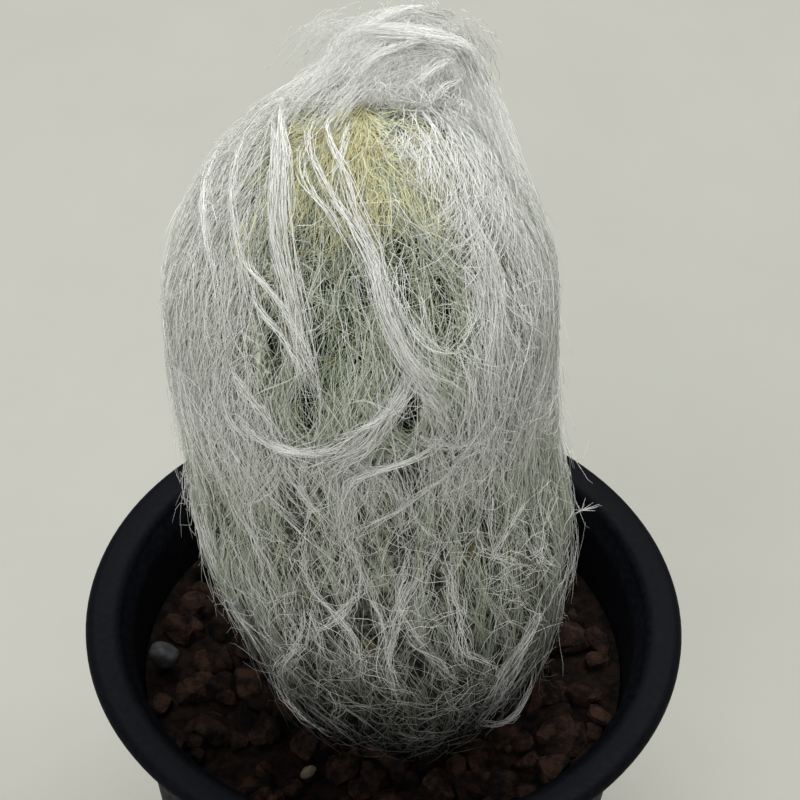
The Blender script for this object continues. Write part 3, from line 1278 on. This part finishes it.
class CACTUS_OT_felt(bpy.types.Operator):
    """Makes the matted wool next to the skin, a shell left open at the parting"""

    bl_idname = "cactus.felt"
    bl_label = "Felt"

    def execute(self, context):
        wool = context.scene.cactus_wool
        along = np.linspace(2 * MM, COAT_END, 88)
        r, z = coat_profile(along, FELT_LIFT)
        bm = bmesh.new()
        vertices = [bm.verts.new((a, 0, b)) for a, b in zip(r, z)]
        edges = [bm.edges.new(pair) for pair in zip(vertices, vertices[1:])]
        bmesh.ops.spin(
            bm, geom=vertices + edges, cent=(0, 0, 0), axis=(0, 0, 1), angle=math.tau, steps=152, use_merge=True
        )
        bmesh.ops.remove_doubles(bm, verts=bm.verts, dist=WELD)
        places = np.array([v.co for v in bm.verts])
        radius = np.hypot(places[:, 0], places[:, 1])
        turn = np.arctan2(places[:, 0], -places[:, 1])
        height = places[:, 2]
        down = np.where(
            height > DOME_LEVEL, COAT_RADIUS * np.arcsin(np.clip(radius / (COAT_RADIUS + FELT_LIFT), 0, 1)),
            QUARTER + DOME_LEVEL - height,
        )
        low = smooth((down - 44 * MM) / (12 * MM))
        hollow = gap_depth(down, turn)
        mats = matting(down, turn) * (1 - hollow)
        lift = FELT_RELIEF * (mats - 0.5) * (0.3 + 0.7 * low) - 0.6 * MM * hollow
        lift = lift - SHOULDER_EASE * np.exp(-(((down - 26 * MM) / (11 * MM)) ** 2))
        places[:, :2] *= (1 + lift / np.maximum(radius, 4 * MM))[:, None]
        places[:, 0] += axis_x(height)
        places[:, 1] += AXIS_Y
        shade = bm.verts.layers.float.new("shade")
        for vertex, place, value in zip(bm.verts, places, ((0.8 + 0.2 * mats) * (1 - low) + 0.72 * mats * low) * (1 - 0.8 * hollow)):
            vertex.co = place
            vertex[shade] = value
        bm.verts.index_update()
        ragged = openness(down + 2 * MM * np.sin(17 * turn), turn + 0.06 * np.sin(down / (1.7 * MM)))
        gone = [face for face in bm.faces if min(ragged[v.index] for v in face.verts) > 0.3]
        bmesh.ops.delete(bm, geom=gone, context="FACES")
        bmesh.ops.recalc_face_normals(bm, faces=bm.faces)
        material, tree, shader = new_material("felt", 0.95, 0.05)
        fibres = place_group(
            tree, shared_group("threads", threads_group), scale=620.0, width=0.05,
            dark=wool.gap, light=wool.matted,
        )
        mats = add_node(tree, "ShaderNodeAttribute", attribute_name="shade")
        level = add_node(tree, "ShaderNodeMapRange")
        level.inputs["To Min"].default_value = 0.22
        dim = add_node(tree, "ShaderNodeMix", data_type="RGBA", blend_type="MULTIPLY")
        dim.inputs["Factor"].default_value = 1.0
        soiled = place_group(tree, shared_group("soiled", soiled_group), reach=66 * MM)
        link(tree, mats.outputs["Fac"], level.inputs["Value"])
        link(tree, fibres.outputs["Colour"], dim.inputs["A"])
        link(tree, level.outputs["Result"], dim.inputs["B"])
        link(tree, dim.outputs["Result"], soiled.inputs["Base"])
        link(tree, soiled.outputs["Colour"], shader.inputs["Base Color"])
        add_bump(tree, shader, fibres.outputs["Mask"], 0.35 * MM)
        felt = bmesh_object("wool_felt", bm, material)
        wall = felt.modifiers.new("wall", "SOLIDIFY")
        wall.thickness = 0.6 * MM
        wall.offset = -1
        felt.data.shade_smooth()
        finish_piece(felt, "white_wool", "wool")
        return {"FINISHED"}


class CACTUS_OT_under_wool(bpy.types.Operator):
    """Makes the thin loose fibres over the skin inside the parting"""

    bl_idname = "cactus.under_wool"
    bl_label = "Under Wool"

    def execute(self, context):
        wool = context.scene.cactus_wool
        rng = np.random.default_rng(wool.seed)
        starts = coat_roots(rng, 6400, 3 * MM, 60 * MM)
        starts = starts[openness(starts[:, 0], starts[:, 1]) > 0.15][:860]
        made, side = bunches(rng, starts, 5, (7 * MM, 14 * MM), 0.55, 6, -3.4 * MM, -1.4 * MM, 0.25)
        kept = outside_gaps(rng, made)
        made, side = made[kept], side[kept]
        shade = np.clip(rng.normal(0.58, 0.35, len(made)), 0, 1.1)
        wool_piece(context, "wool_under", rng, made, wool.thickness * 0.95, shade, 6, side)
        return {"FINISHED"}


class CACTUS_OT_upper_wool(bpy.types.Operator):
    """Makes the long locks that hang from the crown to the waist"""

    bl_idname = "cactus.upper_wool"
    bl_label = "Upper Wool"

    def execute(self, context):
        wool = context.scene.cactus_wool
        rng = np.random.default_rng(wool.seed + 1)
        starts = coat_roots(rng, 1250, 2 * MM, 50 * MM)
        made, side = bunches(rng, starts, 6, (11 * MM, 21 * MM), 0.28, 6, -1.6 * MM, 0.4 * MM, 0.35)
        kept = outside_parting(rng, made, 0.12) & outside_gaps(rng, made, 0.25)
        made, side = made[kept][:5900], side[kept][:5900]
        shade = np.clip(rng.normal(0.15, 0.14, len(made)), 0, 1)
        wool_piece(context, "wool_upper", rng, made, wool.thickness, shade, 6, side, 0.35)
        return {"FINISHED"}


class CACTUS_OT_lower_wool(bpy.types.Operator):
    """Makes the locks that hang from the waist to the foot"""

    bl_idname = "cactus.lower_wool"
    bl_label = "Lower Wool"

    def execute(self, context):
        wool = context.scene.cactus_wool
        rng = np.random.default_rng(wool.seed + 2)
        starts = coat_roots(rng, 1150, 44 * MM, 116 * MM)
        thinning = rng.uniform(0, 1, len(starts)) < 1 - 0.7 * smooth((starts[:, 0] - 84 * MM) / (34 * MM))
        starts = starts[thinning]
        made, side = bunches(rng, starts, 6, (10 * MM, 20 * MM), 0.07, 6, -1.7 * MM, -0.1 * MM, 0.2, 0.15)
        kept = outside_gaps(rng, made, 0.2)
        made, side = made[kept], side[kept]
        low = smooth((made[..., 0].mean(axis=1) - 46 * MM) / (24 * MM))
        shade = np.clip(rng.normal(0.15, 0.15, len(made)) + 0.4 * low, 0, 1)
        wool_piece(context, "wool_lower", rng, made, wool.thickness, shade, 6, side, 0.88)
        return {"FINISHED"}


class CACTUS_OT_locks(bpy.types.Operator):
    """Makes the separate locks that cross the parting, the fringe at the waist and the net below it"""

    bl_idname = "cactus.locks"
    bl_label = "Locks"

    def execute(self, context):
        wool = context.scene.cactus_wool
        rng = np.random.default_rng(wool.seed + 3)
        made = []
        for points, width, count in LOCKS:
            made.append(
                hairs(
                    rng, drawn(points)[None], count, 7, 0.6 * width * MM, 0.32 * width * MM, 1.3 * width * MM,
                    0.2 * MM + 0.14 * width * MM, 0.8 * MM, 0.2 * MM,
                )
            )
        for low, high, count, length in ((4, 40, 46, (22, 36)), (44, 100, 60, (14, 30))):
            roots = coat_roots(rng, count, low * MM, high * MM, -0.35)
            paths = hung(rng, roots, rng.uniform(*length, len(roots)) * MM, rng.normal(0, 0.3, len(roots)))
            loose = hairs(rng, paths, 11, 7, 0.9 * MM, 0.22 * MM, 0.7 * MM, 0.25 * MM, 0.8 * MM, 0.3 * MM)
            made.append(loose[outside_parting(rng, loose, 0.0)])
        sides = rng.uniform(8, 27, 170) * MM, np.radians(rng.uniform(52, 112, 170))
        combed, _ = bunches(rng, np.stack(sides, axis=-1), 5, (5 * MM, 9 * MM), 0.3, 7, -1.2 * MM, 0.3 * MM, 0.2, 0.3, -0.95)
        made.append(combed)
        made = np.concatenate(made)
        shade = np.clip(rng.normal(0.08, 0.12, len(made)), 0, 1)
        wool_piece(context, "wool_locks", rng, made, wool.thickness * 0.95, shade, 7, stained=38 * MM)
        return {"FINISHED"}


# Locks that hang free near the foot on the right, as (x, y, z) places in mm, then mm of width and hairs
FREE_LOCKS = (
    (((14.1, -19, 86.3), (15.5, -19.5, 83.7), (17.5, -19.5, 81.9), (20.4, -19, 82), (22.7, -18.5, 84.6),
      (23.8, -18, 89), (24.5, -17.5, 94.6), (23.7, -17, 100)), 0.5, 16),
    (((25.6, -14, 106), (23.5, -16.5, 99), (20.5, -18.5, 92), (17, -20, 86), (15.2, -20.5, 82)), 0.6, 26),
    (((23.5, -16, 104), (20, -19, 96), (17.6, -20, 89), (15.8, -20.5, 84)), 0.5, 18),
    (((-18, -16, 92), (-16, -18.5, 87), (-12.5, -20.5, 83.6), (-8, -22, 82)), 0.6, 14),
)
STARBURST = (31.1, -3.7, 117.3)

# The tuft's own locks, as (x, y, z) places in mm over the crown, then mm of width and hairs
TUFT_LOCKS = (
    (((12.5, 3, 196), (11.3, 2.4, 200.5), (10.4, 3, 202.6), (8.9, 4, 204.3), (5.3, 3.6, 205.6), (0, 3.8, 206.2),
      (-6, 4.6, 205.4)), 1.3, 130),
    (((11, 4, 199), (9.5, 4.5, 203), (6.5, 4.6, 205), (2, 4.8, 206), (-3, 5.4, 206), (-8.5, 5, 204.4)), 1.2, 110),
    (((8, 9.6, 204.3), (6, 9.2, 205.5), (2.7, 9.0, 206.3), (-0.5, 8.1, 206.5), (-3.4, 5.4, 206), (-6.5, 3.6, 204.4)),
     0.9, 60),
    (((4.5, 3, 205.6), (1.6, 2.1, 205.4), (-1.3, 1.2, 205), (-4.2, -0.2, 203.4), (-5.9, -1.3, 201.2)), 0.7, 50),
    (((8.5, 2.2, 203), (6.2, 0.8, 203), (3.8, -0.8, 201.6), (1.8, -1.8, 200)), 0.7, 40),
    (((9.6, 1, 200.5), (7.4, -0.6, 200.6), (4.6, -2.2, 199.2), (2.8, -3.1, 197.6)), 0.7, 40),
    (((10.8, 2, 202), (12.6, 1.6, 197), (14.6, 0.4, 192.5), (17.4, -2.6, 187)), 1.6, 70),
    (((9, 3, 203), (11.6, 2.4, 198.5), (13.8, 0.4, 193.5), (16.4, -2.6, 188), (18.6, -5, 183)), 1.9, 90),
    (((-6, 3, 203.5), (-10, 1, 200.5), (-13.5, -1.5, 197.5), (-17, -5, 193)), 2.6, 90),
    (((-3, 0, 202.5), (-7, -3, 200), (-10, -6, 197.2), (-12.5, -9.5, 193)), 2.2, 60),
    (((2, 8, 205.6), (1.5, 13, 202.5), (1, 16.5, 197.5), (-0.5, 20, 191)), 4.2, 150),
    (((-5, 8, 204.5), (-8.5, 12, 200.5), (-11, 15, 195.5), (-13.5, 17, 189.5)), 3.2, 110),
    (((7, 9, 204), (9.8, 12.5, 199.5), (11, 15, 194.5), (12, 17.5, 188.5)), 3.2, 110),
)
TUFT_MIDDLE = np.array((0.2, 6.6, 195.8))
TUFT_HALF = np.array((10.9, 9.6, 9.9))
TUFT_CORE = 0.76


def over_tuft(rng, count, each, steps):
    """Fine fibres combed over the round of the tuft towards its left, in mm."""
    spread = rng.normal(0, 1, (count, 3)) * (1, 1, 0.9) + (0.1, 0.05, 0.65)
    place = np.repeat(spread / np.linalg.norm(spread, axis=-1, keepdims=True), each, axis=0)
    place = place + rng.normal(0, 0.07, place.shape)
    place /= np.linalg.norm(place, axis=-1, keepdims=True)
    comb = np.where(place[:, :1] > 0.72, (0.1, -0.3, -1.0), (-1.0, -0.42, -0.25))
    comb = np.where(place[:, 1:2] > 0.45, (-0.2, 0.5, -1.0), comb)
    comb = comb + np.repeat(rng.normal(0, 0.45, (count, 3)), each, axis=0) + rng.normal(0, 0.2, place.shape)
    reach = np.repeat(rng.uniform(0.45, 0.95, (count, 1)), each, axis=0) * rng.uniform(0.7, 1.2, (len(place), 1))
    level = np.repeat(rng.uniform(0.86, 1.02, (count, 1)), each, axis=0) + rng.normal(0, 0.02, (len(place), 1))
    rows = []
    for _ in range(steps):
        rows.append(TUFT_MIDDLE + TUFT_HALF * place * level)
        across = comb - place * (comb * place).sum(axis=-1, keepdims=True)
        across /= np.linalg.norm(across, axis=-1, keepdims=True)
        place = place + across * reach / (steps - 1)
        place /= np.linalg.norm(place, axis=-1, keepdims=True)
        comb = comb + rng.normal(0, 0.3, comb.shape)
    return np.stack(rows, axis=1)


def under_tuft(rng, count, steps):
    """Short fine fibres that end the tuft's front edge over the growing point, in mm."""
    t = np.linspace(0, 1, steps)[None, :, None]
    x = rng.uniform(-10.5, 10.5, count)
    start = np.stack((x, -0.6 - 1.2 * rng.uniform(0, 1, count), 201.2 - 0.03 * x**2 + rng.normal(0, 0.8, count)), axis=-1)
    fall = np.stack((rng.normal(-1.0, 2.4, count), rng.uniform(-3.2, -0.8, count), rng.uniform(-2, 0.8, count)), axis=-1)
    wave = 0.4 * np.sin(math.tau * (rng.uniform(0.5, 1.5, (count, 1, 3)) * t + rng.uniform(0, 1, (count, 1, 3))))
    return start[:, None] + fall[:, None] * t - np.array((0, 0, 1.2)) * t**2 + wave


def tuft_core(name, rng, material):
    """The cottony body of the tuft, which its fibres lie on."""
    bm = bmesh.new()
    bmesh.ops.create_icosphere(bm, subdivisions=4, radius=1)
    phases = rng.uniform(0, math.tau, (8, 1))
    waves = rng.normal(0, 1, (8, 3)) * 5
    for vertex in bm.verts:
        place = np.array(vertex.co)
        swell = 1 + 0.012 * float(np.sin(waves @ place + phases[:, 0]).sum())
        vertex.co = (TUFT_MIDDLE + TUFT_HALF * TUFT_CORE * swell * place) * MM
    bmesh.ops.recalc_face_normals(bm, faces=bm.faces)
    core = bmesh_object(name, bm, material)
    core.data.shade_smooth()
    return core


def free_locks(rng, table, steps):
    """Hairs gathered along locks drawn as places in mm, and how many there are."""
    made = []
    t = np.linspace(0, 1, steps)
    for points, width, count in table:
        rows = np.array(points, float)
        at = np.linspace(0, len(rows) - 1, 24)
        path = np.stack([np.interp(at, np.arange(len(rows)), column) for column in rows.T], axis=-1)
        for _ in range(4):
            path[1:-1] = (path[:-2] + 2 * path[1:-1] + path[2:]) / 4
        part = rng.uniform(0.35, 0.7, (1, count, 1))
        places = at_share(path[None], rng.uniform(0, 1, (1, count, 1)) * (1 - part) + part * t)[0]
        offset = rng.normal(0, 1, (count, 1, 3)) * width * (1.6, 1.0, 0.6) * 0.4
        phase = rng.uniform(0, 1, (count, 1, 3))
        wave = 0.28 * np.sin(math.tau * (rng.uniform(0.6, 1.8, (count, 1, 3)) * t[None, :, None] + phase))
        made.append(places + offset + wave)
    return np.concatenate(made)


class CACTUS_OT_tuft(bpy.types.Operator):
    """Makes the white tuft that sweeps over the back of the crown"""

    bl_idname = "cactus.tuft"
    bl_label = "Tuft"

    def execute(self, context):
        wool = context.scene.cactus_wool
        rng = np.random.default_rng(wool.seed + 4)
        steps = 7
        fuzz = over_tuft(rng, 290, 6, steps)
        skirt = under_tuft(rng, 200, steps)
        locks = free_locks(rng, TUFT_LOCKS, steps)
        places = np.concatenate((fuzz, skirt, locks)) * MM
        shade = np.clip(rng.normal(0.03, 0.05, len(places)), 0, 1)
        radii = hair_radii(rng, len(places), steps, wool.thickness)
        radii *= np.repeat((0.62, 0.85), (len(fuzz) + len(skirt), len(locks)))[:, None]
        hair = tubes("wool_tuft", places, radii, shade, hair_material(wool, 38 * MM))
        finish_piece(hair, "white_wool")

        cotton, tree, shader = new_material("tuft_cotton", 0.95, 0.05)
        fibres = place_group(
            tree, shared_group("threads", threads_group), scale=700.0, width=0.07,
            dark=[c * 0.8 for c in wool.white], light=wool.white,
        )
        link(tree, fibres.outputs["Colour"], shader.inputs["Base Color"])
        add_bump(tree, shader, fibres.outputs["Mask"], 0.2 * MM)
        finish_piece(tuft_core("tuft_body", rng, cotton), "white_wool")
        return {"FINISHED"}


class CACTUS_OT_strays(bpy.types.Operator):
    """Makes the single hairs that stand off the coat and the thin cobweb at its foot"""

    bl_idname = "cactus.strays"
    bl_label = "Strays"

    def execute(self, context):
        wool = context.scene.cactus_wool
        rng = np.random.default_rng(wool.seed + 5)
        starts = coat_roots(rng, 850, 2 * MM, 120 * MM)
        made, _ = bunches(rng, starts, 2, (7 * MM, 16 * MM), 0.9, 6, -0.2 * MM, 0.5 * MM, 0.8)
        loose = 0.4 + 0.35 * smooth((made[:, :1, 0] - 44 * MM) / (10 * MM))
        made[..., 2] += rng.gamma(1.4, loose, (len(made), 1)) * MM * np.linspace(0, 1, 6) ** 1.5
        made = made[outside_parting(rng, made, 0.5)]
        shade = np.clip(rng.normal(0.1, 0.1, len(made)), 0, 1)
        wool_piece(context, "wool_strays", rng, made, wool.thickness * 0.75, shade, 6, stained=50 * MM)

        free = free_locks(rng, FREE_LOCKS, 7)
        rays = rng.normal(0, 1, (11, 1, 3)) * (1.0, 0.5, 1.0)
        rays *= rng.uniform(1.6, 3.6, (11, 1, 1)) / np.linalg.norm(rays, axis=-1, keepdims=True)
        star = np.array(STARBURST) + rays * np.linspace(-0.15, 1, 7)[None, :, None]
        places = np.concatenate((free, star)) * MM
        shade = np.clip(rng.normal(0.05, 0.05, len(places)), 0, 1)
        radii = hair_radii(rng, len(places), 7, wool.thickness * 0.8)
        hair = tubes("wool_free", places, radii, shade, hair_material(wool, 10 * MM))
        finish_piece(hair, "white_wool")
        return {"FINISHED"}


# The stage

CAMERA_PLACE = vector_mm(-3.555, -308.742, 443.762)
CAMERA_PITCH = math.radians(90 - 44.725)
CAMERA_TURN = math.radians(-0.99)
CAMERA_ROLL = math.radians(1.407)
CAMERA_LENS = 126.0


class CACTUS_OT_stage(bpy.types.Operator):
    """Makes the plain floor, the soft lights and the camera"""

    bl_idname = "cactus.stage"
    bl_label = "Stage"

    def execute(self, context):
        settings = context.scene.cactus_studio
        scene = context.scene
        bm = bmesh.new()
        bmesh.ops.create_grid(bm, x_segments=1, y_segments=1, size=3.0)
        material, tree, shader = new_material("pale_floor", 0.8, 0.2)
        grain = place_group(
            tree, shared_group("mottle", mottle_group), scale=30.0, sharpness=0.0,
            dark=[c * 0.97 for c in settings.floor], light=settings.floor,
        )
        link(tree, grain.outputs["Colour"], shader.inputs["Base Color"])
        bmesh_object("floor", bm, material)
        for name, place, size, power, aim in (
            ("overhead", (0.05, 0.25, 0.95), 0.9, settings.power, (0, 0, 0.15)),
            ("front_fill", (-0.35, -0.85, 0.85), 0.8, settings.power * 0.55, (0, 0, 0.12)),
        ):
            data = bpy.data.lights.new(name, "AREA")
            data.shape = "SQUARE"
            data.size = size
            data.energy = power
            lamp = add_object(name, data)
            lamp.location = place
            lamp.rotation_euler = (Vector(aim) - Vector(place)).to_track_quat("-Z", "Y").to_euler()
        world = bpy.data.worlds.new("studio")
        world.use_nodes = True
        sky = world.node_tree.nodes["Background"].inputs
        sky["Color"].default_value = (0.98, 0.99, 1.0, 1)
        sky["Strength"].default_value = settings.ambient
        scene.world = world
        scene.view_settings.view_transform = "Standard"
        data = bpy.data.cameras.new("camera")
        data.sensor_width = 36.0
        data.lens = CAMERA_LENS
        camera = add_object("camera", data)
        turn = Matrix.Rotation(CAMERA_TURN, 4, "Z") @ Matrix.Rotation(CAMERA_PITCH, 4, "X")
        camera.matrix_world = Matrix.Translation(CAMERA_PLACE) @ turn @ Matrix.Rotation(CAMERA_ROLL, 4, "Z")
        scene.camera = camera
        return {"FINISHED"}


OPERATORS = (
    CACTUS_OT_stage,
    CACTUS_OT_pot,
    CACTUS_OT_grit,
    CACTUS_OT_pebbles,
    CACTUS_OT_stem,
    CACTUS_OT_areoles,
    CACTUS_OT_spines,
    CACTUS_OT_felt,
    CACTUS_OT_under_wool,
    CACTUS_OT_upper_wool,
    CACTUS_OT_lower_wool,
    CACTUS_OT_locks,
    CACTUS_OT_tuft,
    CACTUS_OT_strays,
)


class CACTUS_PT_panel(bpy.types.Panel):
    """Lists the steps that dress the cactus, in order"""

    bl_idname = "CACTUS_PT_panel"
    bl_label = "Woolly Cactus"
    bl_space_type = "VIEW_3D"
    bl_region_type = "UI"
    bl_category = "Cactus"

    def draw(self, context):
        for operator in OPERATORS:
            self.layout.operator(operator.bl_idname)


SETTINGS = {
    "cactus_pot": PotSettings,
    "cactus_grit": GritSettings,
    "cactus_stem": StemSettings,
    "cactus_spines": SpineSettings,
    "cactus_wool": WoolSettings,
    "cactus_studio": StudioSettings,
}


def register():
    for each in (*SETTINGS.values(), *OPERATORS, CACTUS_PT_panel):
        bpy.utils.register_class(each)
    for name, group in SETTINGS.items():
        setattr(bpy.types.Scene, name, PointerProperty(type=group))


def unregister():
    for name in SETTINGS:
        delattr(bpy.types.Scene, name)
    for each in (CACTUS_PT_panel, *reversed(OPERATORS), *SETTINGS.values()):
        bpy.utils.unregister_class(each)


def main():
    register()
    for operator in OPERATORS:
        getattr(bpy.ops.cactus, operator.bl_idname.split(".")[1])()


if __name__ == "__main__":
    main()
